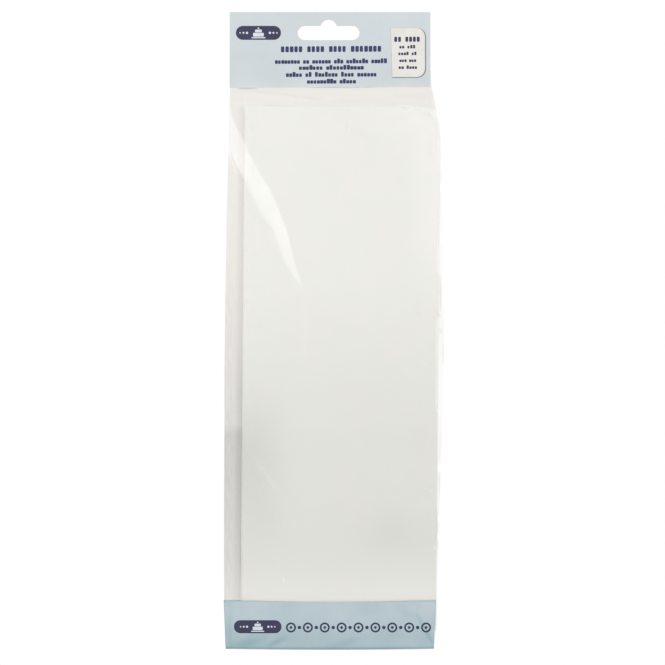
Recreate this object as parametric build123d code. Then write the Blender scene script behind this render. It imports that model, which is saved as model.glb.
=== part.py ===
from build123d import *
from math import cos, radians, sin, tan
import os

# A side smoother for cake icing in its hanging retail pack: a stiff plate in a clear bag,
# with a printed card folded over the bag's mouth and a printed band folded round its bottom.
# The origin is the centre of the euro slot's round hole. +X is to the right and +Z is up
# as the pack hangs, and the printed front faces -Y. All lengths are in millimetres.

# Header card
card_width = 103.9
card_height = 39.4
card_thickness = 0.4
card_fold_radius = 0.55  # outside of the fold
card_side_shift = 0.75  # the card's centre line stands this far right of the slot

# Euro slot through both leaves of the card
slot_below_fold = 8.1  # from the fold down to the centre of the round hole
slot_width = 32.0
slot_height = 7.5
slot_hole_radius = 4.2
slot_wing_drop = 2.75  # from the centre of the round hole down to the middle of the wings
slot_inner_radius = 0.8  # where the round hole runs into the wings

# Size label on the front leaf
label_width = 17.9
label_height = 25.8
label_thickness = 0.1
label_corner_radius = 4.7
label_from_side = 2.6
label_from_fold = 8.3

# Smoother plate
plate_width = 101.0
plate_length = 279.4
plate_thickness = 2.0
plate_corner_radius = 12.0  # the two right corners
plate_edge_radius = 0.3  # broken edges all round, except on the working edge
bevel_width = 1.4
bevel_land = 0.6  # what the two bevels leave of the thickness at the working edge
plate_lean_degrees = 0.46  # the plate leans to the right in its bag
plate_side_shift = 5.4  # the plate's middle stands this far right of the card's
plate_below_card = 9.5

# Clear bag
film_thickness = 0.2
film_face_clearance = 0.25  # between the plate's faces and the film
film_side_clearance = 0.3
film_end_clearance = 0.7
film_edge_radius = 0.4  # inside, where the film turns round the plate's right edge and bottom
flap_slope_run = 2.6  # how far the two sheets take to come together left of the plate
flap_width = 8.7  # flat flap left of the plate, at the band
flap_bow = 1.1  # how far the flap's outer edge bows out at half height
weld_lip = 0.3  # the right weld's width at its ends
weld_bow = 1.6  # how much further the weld's outer edge stands out at half height
mouth_tuck = 16.9  # how far the bag reaches up into the card
mouth_inset = 0.2  # what the card stands proud of the bag's mouth at each side
mouth_spread = 0.7  # how far the bag stands out beside the card's lower right corner
shoulder_height = 26.8  # the bag narrows towards the card over this height
shoulder_side_share = 0.6
shoulder_drop_share = 0.5

# Glue strips between the bag and the card
glue_thickness = 0.1
glue_height = 10.0
glue_above_edge = 3.5
glue_from_side = 7.0

# Footer band
band_height = 25.4
band_thickness = 0.15
band_side_inset = 0.7  # what the bag's right edge stands proud of the band
band_sag = 0.8  # how far the band's top edge dips in the middle
band_draw_in = 1.0  # how far each bottom corner is drawn in

overrun = 5.0  # what a cutting shape stands past the thing that it cuts

# Heights and middles that follow from the sizes above
lean = radians(plate_lean_degrees)
card_top = slot_below_fold
card_bottom = card_top - card_height
card_left = card_side_shift - card_width / 2
card_right = card_side_shift + card_width / 2
mouth_top = card_bottom + mouth_tuck
plate_x = card_side_shift + plate_side_shift
plate_z = card_bottom - plate_below_card - plate_length / 2
plate_lowest = plate_z - plate_length / 2 * cos(lean) - plate_width / 2 * sin(lean)
film_inside = plate_thickness / 2 + film_face_clearance
film_outside = film_inside + film_thickness
bag_floor = plate_lowest - film_end_clearance
bag_bottom = bag_floor - film_thickness
band_bottom = bag_bottom - band_thickness
band_top = band_bottom + band_height
leaf_inside = film_outside + glue_thickness
leaf_outside = leaf_inside + card_thickness
shoulder_bottom = card_bottom - shoulder_height


def plate_edge_x(side, height):
    # Where the leaning plate's left (-1) or right (+1) edge stands at a height
    half_width = plate_width / 2 / cos(lean)
    return plate_x + side * half_width + (height - plate_z) * tan(lean)


def bag_left_x(height):
    # The straight line between the ends of the flap's outer edge
    low_x = plate_edge_x(-1, band_top) - film_side_clearance - flap_width
    high_x = card_left + mouth_inset
    share = (height - band_top) / (card_bottom - band_top)
    return low_x + (high_x - low_x) * share


def bag_right_x(height):
    # Outside of the film at the plate's right edge
    return plate_edge_x(1, height) + film_side_clearance + film_thickness


def front_prism(outline):
    # A front view outline carried through the whole depth of the pack
    depth = leaf_outside + label_thickness + overrun
    return extrude(Plane.XZ * make_face(outline), amount=depth, both=True)


def fold_profile(skin, low, high):
    # Side view of the pouch, rounded where its sheets meet at the bottom
    depth = film_inside + skin
    side = Pos(0, (low + high) / 2) * Rectangle(depth * 2, high - low)
    side = fillet(side.vertices().sort_by(Axis.Y)[:2], film_edge_radius + skin)
    return extrude(Plane.YZ * side, amount=plate_width, both=True)


def pouch_half(skin, low, high):
    # Front half of the room inside the bag, grown outwards by a skin, along the plate's lean
    left = plate_edge_x(-1, low) - film_side_clearance
    right = plate_edge_x(1, low) + film_side_clearance + skin
    front = -film_inside - skin
    flap_start = left - flap_slope_run
    flap_end = left - flap_width - flap_bow - overrun
    points = [(flap_start, -skin), (left, front), (right, front), (right, 0)]
    if skin > 0:
        weld_end = right + weld_lip + weld_bow + overrun
        points = [(flap_end, 0), (flap_end, -skin)] + points[:-1]
        points += [(right, -skin), (weld_end, -skin), (weld_end, 0)]
    section = Pos(0, 0, low) * make_face(Polyline(*points, close=True))
    corner = section.vertices().sort_by_distance((right, front, low))[0]
    section = fillet(corner, film_edge_radius + skin)
    half = extrude(section, amount=(high - low) / cos(lean), dir=(sin(lean), 0, cos(lean)))
    return half & fold_profile(skin, low, high)


def bag_outline():
    bottom_left = (bag_left_x(band_top) + band_draw_in, bag_bottom - overrun)
    low_left = (bag_left_x(band_top), band_top)
    high_left = (bag_left_x(card_bottom), card_bottom)
    bow_height = (band_top + card_bottom) / 2
    bow_left = (bag_left_x(bow_height) - flap_bow, bow_height)
    mouth_left = (high_left[0], mouth_top + overrun)
    mouth_right = (card_right - mouth_inset, mouth_top)
    mouth_over = (mouth_right[0], mouth_top + overrun)
    high_right = (card_right + mouth_spread, card_bottom)
    shoulder_end = (bag_right_x(shoulder_bottom), shoulder_bottom)
    bulge_x = high_right[0] + (shoulder_end[0] - high_right[0]) * shoulder_side_share
    bulge_z = card_bottom - shoulder_height * shoulder_drop_share
    weld_high = (shoulder_end[0] + weld_lip, shoulder_bottom)
    weld_low = (bag_right_x(bag_bottom) + weld_lip, bag_bottom)
    weld_middle = ((weld_high[0] + weld_low[0]) / 2 + weld_bow, (weld_high[1] + weld_low[1]) / 2)
    bottom_right = (weld_low[0], bag_bottom - overrun)
    outline = Polyline(bottom_left, low_left)
    outline += ThreePointArc(low_left, bow_left, high_left)
    outline += Polyline(high_left, mouth_left, mouth_over, mouth_right, high_right)
    outline += ThreePointArc(high_right, (bulge_x, bulge_z), shoulder_end)
    outline += Line(shoulder_end, weld_high)
    outline += ThreePointArc(weld_high, weld_middle, weld_low)
    outline += Polyline(weld_low, bottom_right, bottom_left)
    return outline


def make_film():
    # The front sheet, with half of the right edge, its weld and the bottom
    outer = pouch_half(film_thickness, bag_bottom, mouth_top)
    inner = pouch_half(0, bag_floor, mouth_top + overrun)
    return (outer - inner) & front_prism(bag_outline())


def band_outline():
    left = bag_left_x(band_top)
    right = bag_right_x(band_top) - band_side_inset
    low = band_bottom - overrun
    middle_top = ((left + right) / 2, band_top - band_sag)
    sides_low_left = (left + band_draw_in, band_bottom)
    sides_low_right = (right - band_draw_in, band_bottom)
    outline = Polyline(
        (left, band_top),
        sides_low_left,
        (sides_low_left[0], low),
        (sides_low_right[0], low),
        sides_low_right,
        (right, band_top),
    )
    return outline + ThreePointArc((right, band_top), middle_top, (left, band_top))


def make_band():
    high = band_top + overrun
    outer = pouch_half(film_thickness + band_thickness, band_bottom, high)
    inner = pouch_half(film_thickness, bag_bottom, high + overrun)
    front = (outer - inner) & front_prism(band_outline())
    return front + mirror(front, about=Plane.XZ)


def leaf_solid(face_y, fold_radius, low, width):
    # The card's folded shape, filled in: parallel leaves that close up to the fold on top
    fold_centre = card_top - card_fold_radius
    sides = Polyline(
        (-fold_radius, fold_centre),
        (-face_y, mouth_top),
        (-face_y, low),
        (face_y, low),
        (face_y, mouth_top),
        (fold_radius, fold_centre),
    )
    fold = ThreePointArc(
        (fold_radius, fold_centre),
        (0, fold_centre + fold_radius),
        (-fold_radius, fold_centre),
    )
    section = Plane.YZ * make_face(sides + fold)
    return Pos(card_side_shift, 0, 0) * extrude(section, amount=width / 2, both=True)


def slot_cutter():
    wings = Pos(0, -slot_wing_drop) * SlotOverall(slot_width, slot_height)
    shape = wings + Circle(slot_hole_radius)
    wing_top = slot_height / 2 - slot_wing_drop
    notches = [
        corner
        for corner in shape.vertices()
        if abs(corner.Y - wing_top) < slot_inner_radius and abs(corner.X) < slot_hole_radius
    ]
    shape = fillet(notches, slot_inner_radius)
    return extrude(Plane.XZ * shape, amount=leaf_outside + overrun, both=True)


def make_header_card():
    outside = leaf_solid(leaf_outside, card_fold_radius, card_bottom, card_width)
    inside_width = card_width + overrun
    inner_fold = card_fold_radius - card_thickness
    inside = leaf_solid(leaf_inside, inner_fold, card_bottom - overrun, inside_width)
    return outside - inside - slot_cutter()


def make_label():
    # A sticker that follows the front leaf where it bends in towards the fold
    skin = leaf_solid(
        leaf_outside + label_thickness,
        card_fold_radius + label_thickness,
        card_bottom,
        card_width,
    )
    skin -= leaf_solid(leaf_outside, card_fold_radius, card_bottom - overrun, card_width + overrun)
    middle_x = card_right - label_from_side - label_width / 2
    middle_z = card_top - label_from_fold - label_height / 2
    shape = Pos(middle_x, middle_z) * Rectangle(label_width, label_height)
    shape = fillet(shape.vertices().sort_by(Axis.X)[-2:], label_corner_radius)
    return skin & extrude(Plane.XZ * shape, amount=leaf_outside + overrun)


def make_glue():
    width = card_width - glue_from_side * 2
    strip = Box(width, glue_thickness, glue_height, align=(Align.CENTER, Align.MAX, Align.MIN))
    return Pos(card_side_shift, -film_outside, card_bottom + glue_above_edge) * strip


def make_plate():
    half_width = plate_width / 2
    half_depth = plate_thickness / 2
    half_land = bevel_land / 2
    section = Polyline(
        (-half_width, -half_land),
        (-half_width + bevel_width, -half_depth),
        (half_width, -half_depth),
        (half_width, half_depth),
        (-half_width + bevel_width, half_depth),
        (-half_width, half_land),
        close=True,
    )
    plate = extrude(make_face(section), amount=plate_length / 2, both=True)
    shape = Rectangle(plate_width, plate_length)
    shape = fillet(shape.vertices().sort_by(Axis.X)[-2:], plate_corner_radius)
    plate &= extrude(Plane.XZ * shape, amount=plate_thickness, both=True)
    flat_faces = plate.faces().filter_by(Axis.Y)
    rims = [edge for edge in flat_faces.edges() if edge.center().X > -half_width + bevel_width * 2]
    plate = fillet(rims, plate_edge_radius)
    return Pos(plate_x, 0, plate_z) * Rot(0, plate_lean_degrees, 0) * plate


def make_pieces():
    film = make_film()
    glue = make_glue()
    return {
        "smoother_blade": make_plate(),
        "bag_front_film": film,
        "bag_back_film": mirror(film, about=Plane.XZ),
        "footer_band": make_band(),
        "header_card": make_header_card(),
        "header_glue_front": glue,
        "header_glue_back": mirror(glue, about=Plane.XZ),
        "size_label": make_label(),
    }


os.makedirs("parts", exist_ok=True)
for name, piece in make_pieces().items():
    export_step(piece, f"parts/{name}.step")
    print(name, round(piece.volume, 2), piece.bounding_box())
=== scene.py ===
import bpy
import bmesh
import math
import random
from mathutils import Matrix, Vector, noise
from mathutils.bvhtree import BVHTree


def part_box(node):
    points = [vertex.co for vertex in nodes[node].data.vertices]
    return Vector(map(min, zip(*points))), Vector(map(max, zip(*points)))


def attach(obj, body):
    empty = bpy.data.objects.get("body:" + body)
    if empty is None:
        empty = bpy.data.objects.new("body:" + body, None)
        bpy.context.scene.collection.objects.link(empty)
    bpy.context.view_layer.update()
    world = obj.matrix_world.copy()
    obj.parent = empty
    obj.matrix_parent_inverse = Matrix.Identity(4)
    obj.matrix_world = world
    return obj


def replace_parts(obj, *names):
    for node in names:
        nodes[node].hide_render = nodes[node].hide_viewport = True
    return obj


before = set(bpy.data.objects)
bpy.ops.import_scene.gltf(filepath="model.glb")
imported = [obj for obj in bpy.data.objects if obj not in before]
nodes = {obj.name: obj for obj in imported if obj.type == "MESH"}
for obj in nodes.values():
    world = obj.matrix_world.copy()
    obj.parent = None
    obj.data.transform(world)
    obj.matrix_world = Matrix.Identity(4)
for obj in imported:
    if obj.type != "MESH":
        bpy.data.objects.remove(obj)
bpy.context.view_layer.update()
mm = 0.001
print("frame loaded")

# Places read off the photograph are (x, y) pixels of its 665 x 665 frame
photo = {"side": 665, "slotX": 328.6, "slotY": 27.7, "mmPerPixel": 0.5178}


def fromPixel(pixel):
    x = (pixel[0] - photo["slotX"]) * photo["mmPerPixel"] * mm
    z = (photo["slotY"] - pixel[1]) * photo["mmPerPixel"] * mm
    return Vector((x, 0, z))


def toPixel(x, z):
    return (
        x / mm / photo["mmPerPixel"] + photo["slotX"],
        photo["slotY"] - z / mm / photo["mmPerPixel"],
    )


def ease(share):
    share = min(max(share, 0.0), 1.0)
    return share * share * (3 - 2 * share)


def follow(stops, at):
    # Value at a place between stops, each a (place, value) pair
    if at <= stops[0][0]:
        return stops[0][1]
    for (low, lowValue), (high, highValue) in zip(stops, stops[1:]):
        if at <= high:
            return lowValue + (highValue - lowValue) * (at - low) / (high - low)
    return stops[-1][1]


def ramp(share, rounded=0.04):
    # A straight slope from 0 to 1 with short rounded ends
    share = min(max(share, 0.0), 1.0)
    if share < rounded:
        return share * share / (2 * rounded * (1 - rounded))
    if share > 1 - rounded:
        return 1 - (1 - share) ** 2 / (2 * rounded * (1 - rounded))
    return (share - rounded / 2) / (1 - rounded)


# Sizes of the plate that the film and the print follow
plate = {"width": 101.0 * mm, "length": 279.4 * mm, "corner": 12.0 * mm, "lean": math.radians(0.46)}
plateLow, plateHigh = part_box("smoother_blade")
plateX = (plateLow.x + plateHigh.x) / 2
plateZ = (plateLow.z + plateHigh.z) / 2


# Node helpers and the effects that several materials share


def addNode(tree, kind, **settings):
    node = tree.nodes.new(kind)
    for key, value in settings.items():
        setattr(node, key, value)
    return node


def feed(tree, socket, value):
    # Links another node's output to a socket, or sets it to a plain value or colour
    if isinstance(value, bpy.types.NodeSocket):
        tree.links.new(value, socket)
    elif isinstance(value, tuple):
        socket.default_value = (*value, 1)
    else:
        socket.default_value = value


def calculate(tree, operation, *values):
    node = addNode(tree, "ShaderNodeMath", operation=operation)
    for socket, value in zip(node.inputs, values):
        feed(tree, socket, value)
    return node.outputs[0]


def splitAxes(tree, source):
    parts = addNode(tree, "ShaderNodeSeparateXYZ")
    feed(tree, parts.inputs[0], source)
    return parts.outputs


def splitNormal(tree):
    return splitAxes(tree, addNode(tree, "ShaderNodeNewGeometry").outputs["Normal"])


def placeNoise(tree, place, scale, detail=3):
    texture = addNode(tree, "ShaderNodeTexNoise")
    feed(tree, texture.inputs["Scale"], scale)
    feed(tree, texture.inputs["Detail"], detail)
    feed(tree, texture.inputs["Vector"], place)
    return texture.outputs["Fac"]


def makeGroup(name, inputs, outputs):
    group = bpy.data.node_groups.new(name, "ShaderNodeTree")
    for label, kind, value in inputs:
        socket = group.interface.new_socket(name=label, in_out="INPUT", socket_type=kind)
        if value is not None:
            socket.default_value = value
    for label, kind in outputs:
        group.interface.new_socket(name=label, in_out="OUTPUT", socket_type=kind)
    return group, addNode(group, "NodeGroupInput"), addNode(group, "NodeGroupOutput")


def makePaperGrain():
    # Fibres of a coated board: a fine height and a soft cloudy tone
    group, start, end = makeGroup(
        "paperGrain",
        [("Vector", "NodeSocketVector", None), ("Fibre Scale", "NodeSocketFloat", 1500.0),
         ("Cloud Scale", "NodeSocketFloat", 60.0)],
        [("Height", "NodeSocketFloat"), ("Tone", "NodeSocketFloat")],
    )
    fibreShare = 0.25
    fibre = placeNoise(group, start.outputs["Vector"], start.outputs["Fibre Scale"])
    cloud = placeNoise(group, start.outputs["Vector"], start.outputs["Cloud Scale"], 4)
    cloud = calculate(group, "MULTIPLY", cloud, 1 - fibreShare)
    feed(group, end.inputs["Height"], fibre)
    feed(group, end.inputs["Tone"], calculate(group, "MULTIPLY_ADD", fibre, fibreShare, cloud))
    return group


def makeStreaks():
    # Long fine streaks down the height, as drawn film has
    group, start, end = makeGroup(
        "downStreaks",
        [("Vector", "NodeSocketVector", None), ("Across", "NodeSocketFloat", 500.0),
         ("Along", "NodeSocketFloat", 8.0)],
        [("Mask", "NodeSocketFloat")],
    )
    size = addNode(group, "ShaderNodeCombineXYZ")
    for axis, label in (("X", "Across"), ("Y", "Across"), ("Z", "Along")):
        feed(group, size.inputs[axis], start.outputs[label])
    stretch = addNode(group, "ShaderNodeVectorMath", operation="MULTIPLY")
    feed(group, stretch.inputs[0], start.outputs["Vector"])
    feed(group, stretch.inputs[1], size.outputs[0])
    feed(group, end.inputs["Mask"], placeNoise(group, stretch.outputs[0], 1, 4))
    return group


def makePlateOutline():
    # How far a point lies outside the plate's outline, which is round at its right corners
    group, start, end = makeGroup(
        "plateOutline", [("Vector", "NodeSocketVector", None)], [("Distance", "NodeSocketFloat")]
    )
    turn = addNode(group, "ShaderNodeMapping", vector_type="TEXTURE")
    turn.inputs["Location"].default_value = (plateX, 0, plateZ)
    turn.inputs["Rotation"].default_value = (0, plate["lean"], 0)
    feed(group, turn.inputs["Vector"], start.outputs["Vector"])
    parts = splitAxes(group, turn.outputs[0])
    radius = calculate(group, "GREATER_THAN", parts["X"], 0)
    radius = calculate(group, "MULTIPLY", radius, plate["corner"])
    beyond = []
    for axis, size in (("X", plate["width"]), ("Z", plate["length"])):
        far = calculate(group, "ABSOLUTE", parts[axis])
        far = calculate(group, "SUBTRACT", far, size / 2)
        beyond.append(calculate(group, "ADD", far, radius))
    corner = addNode(group, "ShaderNodeCombineXYZ")
    for axis, far in zip("XZ", beyond):
        feed(group, corner.inputs[axis], calculate(group, "MAXIMUM", far, 0))
    reach = addNode(group, "ShaderNodeVectorMath", operation="LENGTH")
    feed(group, reach.inputs[0], corner.outputs[0])
    inner = calculate(group, "MINIMUM", calculate(group, "MAXIMUM", *beyond), 0)
    outer = calculate(group, "SUBTRACT", reach.outputs["Value"], radius)
    feed(group, end.inputs["Distance"], calculate(group, "ADD", outer, inner))
    return group


paperGrain = makePaperGrain()
downStreaks = makeStreaks()
plateOutline = makePlateOutline()


def newMaterial(name):
    material = bpy.data.materials.new(name)
    material.use_nodes = True
    tree = material.node_tree
    place = addNode(tree, "ShaderNodeTexCoord").outputs["Object"]
    return material, tree, tree.nodes["Principled BSDF"], place


def placeGroup(tree, group, place, **values):
    node = addNode(tree, "ShaderNodeGroup", node_tree=group)
    for label, value in values.items():
        feed(tree, node.inputs[label.replace("_", " ")], value)
    feed(tree, node.inputs["Vector"], place)
    return node.outputs


def spread(tree, source, fromLow, fromHigh, toLow, toHigh, shape="LINEAR"):
    span = addNode(tree, "ShaderNodeMapRange", interpolation_type=shape)
    for socket, value in zip(span.inputs, (source, fromLow, fromHigh, toLow, toHigh)):
        feed(tree, socket, value)
    return span.outputs["Result"]


def mixColours(tree, factor, low, high):
    mix = addNode(tree, "ShaderNodeMix", data_type="RGBA")
    for place, value in ((0, factor), (6, low), (7, high)):
        feed(tree, mix.inputs[place], value)
    return mix.outputs[2]


def rampColours(tree, factor, stops):
    # Colours between stops, each a (place, colour) pair
    node = addNode(tree, "ShaderNodeValToRGB")
    points = node.color_ramp.elements
    while len(points) < len(stops):
        points.new(0.5)
    for point, (at, colour) in zip(points, stops):
        point.position, point.color = at, (*colour, 1)
    tree.links.new(factor, node.inputs["Fac"])
    return node.outputs["Color"]


def readAttribute(tree, name):
    return addNode(tree, "ShaderNodeAttribute", attribute_name=name).outputs["Fac"]


def addBump(tree, shader, height, strength, depth):
    bump = addNode(tree, "ShaderNodeBump")
    for label, value in (("Strength", strength), ("Distance", depth), ("Height", height)):
        feed(tree, bump.inputs[label], value)
    feed(tree, shader.inputs["Normal"], bump.outputs["Normal"])


def makePlatePlastic():
    look = {
        "warm": (0.885, 0.873, 0.854), "green": (0.868, 0.882, 0.854), "light": (0.905, 0.904, 0.882),
        "edge": (0.965, 0.962, 0.94), "leftHighlight": (0.985, 0.985, 0.905), "rightHighlight": (0.995, 0.985, 0.965),
        "roughness": (0.36, 0.46), "tintScale": 42, "cloudScale": 16, "scuffScale": 320, "grainScale": 2600,
        # the painted highlights along the rims, as distances outside the plate's outline and as x
        "narrowReach": (-2.0 * mm, -0.2 * mm), "wideReach": (-22 * mm, -2 * mm), "wideShare": 0.40,
        "leftReach": (-1.15 * mm, -0.6 * mm), "leftX": (-47 * mm, -42 * mm), "rightX": (20 * mm, 45 * mm),
        "fromZ": (-307 * mm, -39.5 * mm),
    }
    # How strong the painted highlight along the right rim is, from the plate's foot to its top
    highlightStops = [
        (0.0, 0.08), (0.388, 0.08), (0.426, 1.0), (0.578, 1.0), (0.597, 0.0), (0.653, 0.0), (0.672, 0.45),
        (0.685, 1.0), (0.725, 1.0), (0.745, 0.45), (0.872, 0.40), (0.891, 0.85), (1.0, 0.75),
    ]
    material, tree, shader, place = newMaterial("platePlastic")
    tint = spread(tree, placeNoise(tree, place, look["tintScale"]), 0.35, 0.65, 0, 1)
    cloud = spread(tree, placeNoise(tree, place, look["cloudScale"]), 0.3, 0.7, 0, 0.6)
    ground = mixColours(tree, tint, look["warm"], look["green"])
    ground = mixColours(tree, cloud, ground, look["light"])
    where = splitAxes(tree, place)
    outside = placeGroup(tree, plateOutline, place)["Distance"]
    height = spread(tree, where["Z"], *look["fromZ"], 0, 1)
    rim = rampColours(tree, height, [(at, (share, share, share)) for at, share in highlightStops])
    rim = calculate(tree, "MULTIPLY", rim, spread(tree, outside, *look["narrowReach"], 0, 1, "SMOOTHSTEP"))
    wide = spread(tree, outside, *look["wideReach"], 0, look["wideShare"], "SMOOTHSTEP")
    wide = calculate(tree, "MULTIPLY", wide, spread(tree, height, 0.62, 0.76, 0, 1))
    rim = calculate(tree, "MAXIMUM", rim, wide)
    rim = calculate(tree, "MULTIPLY", rim, spread(tree, where["X"], *look["rightX"], 0, 1))
    leftHighlight = spread(tree, outside, *look["leftReach"], 0, 1)
    leftHighlight = calculate(tree, "MULTIPLY", leftHighlight, spread(tree, where["X"], *look["leftX"], 1, 0))
    # The right and left rims are painted paler, a painted highlight
    ground = mixColours(tree, rim, ground, look["rightHighlight"])
    ground = mixColours(tree, leftHighlight, ground, look["leftHighlight"])
    # Edges and the bevel are painted paler by the way their normals face, a painted highlight
    normal = splitNormal(tree)
    across, along = (calculate(tree, "ABSOLUTE", normal[axis]) for axis in "XZ")
    paintedEdgeLight = spread(tree, calculate(tree, "MAXIMUM", across, along), 0.1, 0.5, 0, 1)
    feed(tree, shader.inputs["Base Color"], mixColours(tree, paintedEdgeLight, ground, look["edge"]))
    scuffs = placeNoise(tree, place, look["scuffScale"], 5)
    feed(tree, shader.inputs["Roughness"], spread(tree, scuffs, 0.35, 0.65, *look["roughness"]))
    addBump(tree, shader, placeNoise(tree, place, look["grainScale"]), 0.15, 0.02 * mm)
    return material


def makeClearFilm(name, look):
    # Lets light through with a slight tint and mirrors a share of the surroundings, more at a slant. The tint
    # also carries painted shade from the sheet's attributes, with more of it near the plate's outline
    material, tree, shader, place = newMaterial(name)
    outside = placeGroup(tree, plateOutline, place)["Distance"]
    streak = placeGroup(tree, downStreaks, place, Across=620.0, Along=130.0)["Mask"]
    wander = spread(tree, streak, 0.3, 0.7, -look["streaks"], look["streaks"])
    wander = calculate(tree, "MULTIPLY", wander, readAttribute(tree, "ragged"))
    # Painted shade along the plate's outline
    near = spread(tree, outside, 0, look["nearReach"], 1, 0, "SMOOTHSTEP")
    near = calculate(tree, "MULTIPLY", near, readAttribute(tree, "near"))
    shade = calculate(tree, "ADD", readAttribute(tree, "besideShade"), calculate(tree, "ADD", near, wander))
    beside = rampColours(tree, shade, look["beside"])
    over = mixColours(tree, readAttribute(tree, "overShade"), look["clear"], look["hazeAndShadeTint"])
    onPlate = spread(tree, outside, -0.2 * mm, 0.2 * mm, 1, 0)
    clear = addNode(tree, "ShaderNodeBsdfTransparent")
    feed(tree, clear.inputs["Color"], mixColours(tree, onPlate, beside, over))
    feed(tree, shader.inputs["Base Color"], look["sheen"])
    feed(tree, shader.inputs["Metallic"], 1)
    smear = spread(tree, placeNoise(tree, place, 90), 0.3, 0.7, look["gloss"] * 0.75, look["gloss"] * 1.3)
    feed(tree, shader.inputs["Roughness"], smear)
    addBump(tree, shader, placeNoise(tree, place, 420), 0.25, 0.02 * mm)
    steep = calculate(tree, "POWER", addNode(tree, "ShaderNodeLayerWeight").outputs["Facing"], 3)
    share = spread(tree, steep, 0, 1, look["mirror"], look["steepMirror"])
    share = calculate(tree, "ADD", share, readAttribute(tree, "gleam"))
    mix = addNode(tree, "ShaderNodeMixShader")
    for socket, value in zip(mix.inputs, (share, clear.outputs[0], shader.outputs[0])):
        feed(tree, socket, value)
    feed(tree, tree.nodes["Material Output"].inputs["Surface"], mix.outputs[0])
    return material


def makeCoatedBoard(name, look):
    # Printed board: ink on the outside and bare pulp on the cut edges and the inside, with the ink painted
    # paler towards pulp along the card's lit edges, a painted highlight
    material, tree, shader, place = newMaterial(name)
    grain = placeGroup(tree, paperGrain, place, Fibre_Scale=look["fibre"], Cloud_Scale=look["cloud"])
    tone = spread(tree, grain["Tone"], 0.35, 0.65, 0, 1)
    ink = mixColours(tree, tone, look["inkDark"], look["inkLight"])
    # The shade attribute darkens the ink towards the crease colour; on the band this is mostly painted shade
    ink = mixColours(tree, readAttribute(tree, "shade"), ink, look["crease"])
    pulp = mixColours(tree, tone, look["pulpDark"], look["pulpLight"])
    # The worn attribute paints the ink paler along the card's edges, a painted highlight
    ink = mixColours(tree, readAttribute(tree, "worn"), ink, pulp)
    side = calculate(tree, "SIGN", splitAxes(tree, place)["Y"])
    outward = calculate(tree, "MULTIPLY", splitNormal(tree)["Y"], side)
    printed = spread(tree, outward, 0.25, 0.6, 0, 1)
    feed(tree, shader.inputs["Base Color"], mixColours(tree, printed, pulp, ink))
    feed(tree, shader.inputs["Roughness"], spread(tree, grain["Tone"], 0.3, 0.7, *look["roughness"]))
    addBump(tree, shader, grain["Height"], 0.2, 0.03 * mm)
    return material


def makePlainPaper(name, dark, light, roughness):
    material, tree, shader, place = newMaterial(name)
    grain = placeGroup(tree, paperGrain, place, Fibre_Scale=1900.0, Cloud_Scale=240.0)
    tone = spread(tree, grain["Tone"], 0.35, 0.65, 0, 1)
    rough = spread(tree, grain["Tone"], 0.3, 0.7, roughness - 0.06, roughness + 0.06)
    feed(tree, shader.inputs["Base Color"], mixColours(tree, tone, dark, light))
    feed(tree, shader.inputs["Roughness"], rough)
    addBump(tree, shader, grain["Height"], 0.2, 0.02 * mm)
    return material


filmLook = {
    # the film's tint beside the plate, from clear to the darkest painted shade, and over it
    "beside": [
        (0.0, (0.985, 0.985, 0.966)), (0.10, (0.950, 0.946, 0.929)), (0.18, (0.916, 0.899, 0.881)),
        (0.56, (0.769, 0.764, 0.745)), (1.0, (0.60, 0.60, 0.585)),
    ],
    "clear": (0.985, 0.982, 0.966), "hazeAndShadeTint": (0.575, 0.602, 0.562), "sheen": (0.97, 0.97, 0.96),
    "streaks": 0.06, "nearReach": 5.2 * mm, "steepMirror": 0.75,
}
frontFilmLook = {**filmLook, "mirror": 0.075, "gloss": 0.16}
backFilmLook = {**filmLook, "mirror": 0.045, "gloss": 0.22}
headerLook = {
    "inkDark": (0.598, 0.645, 0.667), "inkLight": (0.638, 0.69, 0.715), "crease": (0.46, 0.51, 0.52),
    "pulpDark": (0.72, 0.71, 0.68), "pulpLight": (0.82, 0.81, 0.79),
    "fibre": 1300.0, "cloud": 45.0, "roughness": (0.42, 0.56),
}
footerLook = {
    # crease is the colour that the band's shade darkens towards, mostly painted shade
    "inkDark": (0.46, 0.56, 0.605), "inkLight": (0.53, 0.618, 0.66), "crease": (0.10, 0.29, 0.325),
    "pulpDark": (0.62, 0.65, 0.66), "pulpLight": (0.74, 0.76, 0.76),
    "fibre": 1300.0, "cloud": 70.0, "roughness": (0.36, 0.5),
}
platePlastic = makePlatePlastic()
frontFilm = makeClearFilm("clearFilmFront", frontFilmLook)
backFilm = makeClearFilm("clearFilmBack", backFilmLook)
headerBoard = makeCoatedBoard("headerBoard", headerLook)
footerBoard = makeCoatedBoard("footerBoard", footerLook)
labelPaper = makePlainPaper("labelPaper", (0.74, 0.715, 0.68), (0.80, 0.78, 0.745), 0.6)
navyInk = makePlainPaper("navyInk", (0.010, 0.013, 0.082), (0.018, 0.023, 0.125), 0.42)
darkInk = makePlainPaper("darkInk", (0.010, 0.011, 0.045), (0.018, 0.020, 0.075), 0.42)
paleInk = makePlainPaper("paleInk", (0.62, 0.68, 0.74), (0.72, 0.77, 0.82), 0.45)
shadowInk = makePlainPaper("shadowInk", (0.16, 0.19, 0.20), (0.24, 0.27, 0.28), 0.5)
driedGlue = makePlainPaper("driedGlue", (0.70, 0.67, 0.56), (0.80, 0.77, 0.68), 0.3)
print("materials made")


def finishPiece(name, mesh, material, body, smooth=True):
    data = bpy.data.meshes.new(name)
    mesh.to_mesh(data)
    mesh.free()
    piece = bpy.data.objects.new(name, data)
    bpy.context.scene.collection.objects.link(piece)
    data.materials.append(material)
    for face in data.polygons:
        face.use_smooth = smooth
    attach(piece, body)
    return piece


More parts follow.
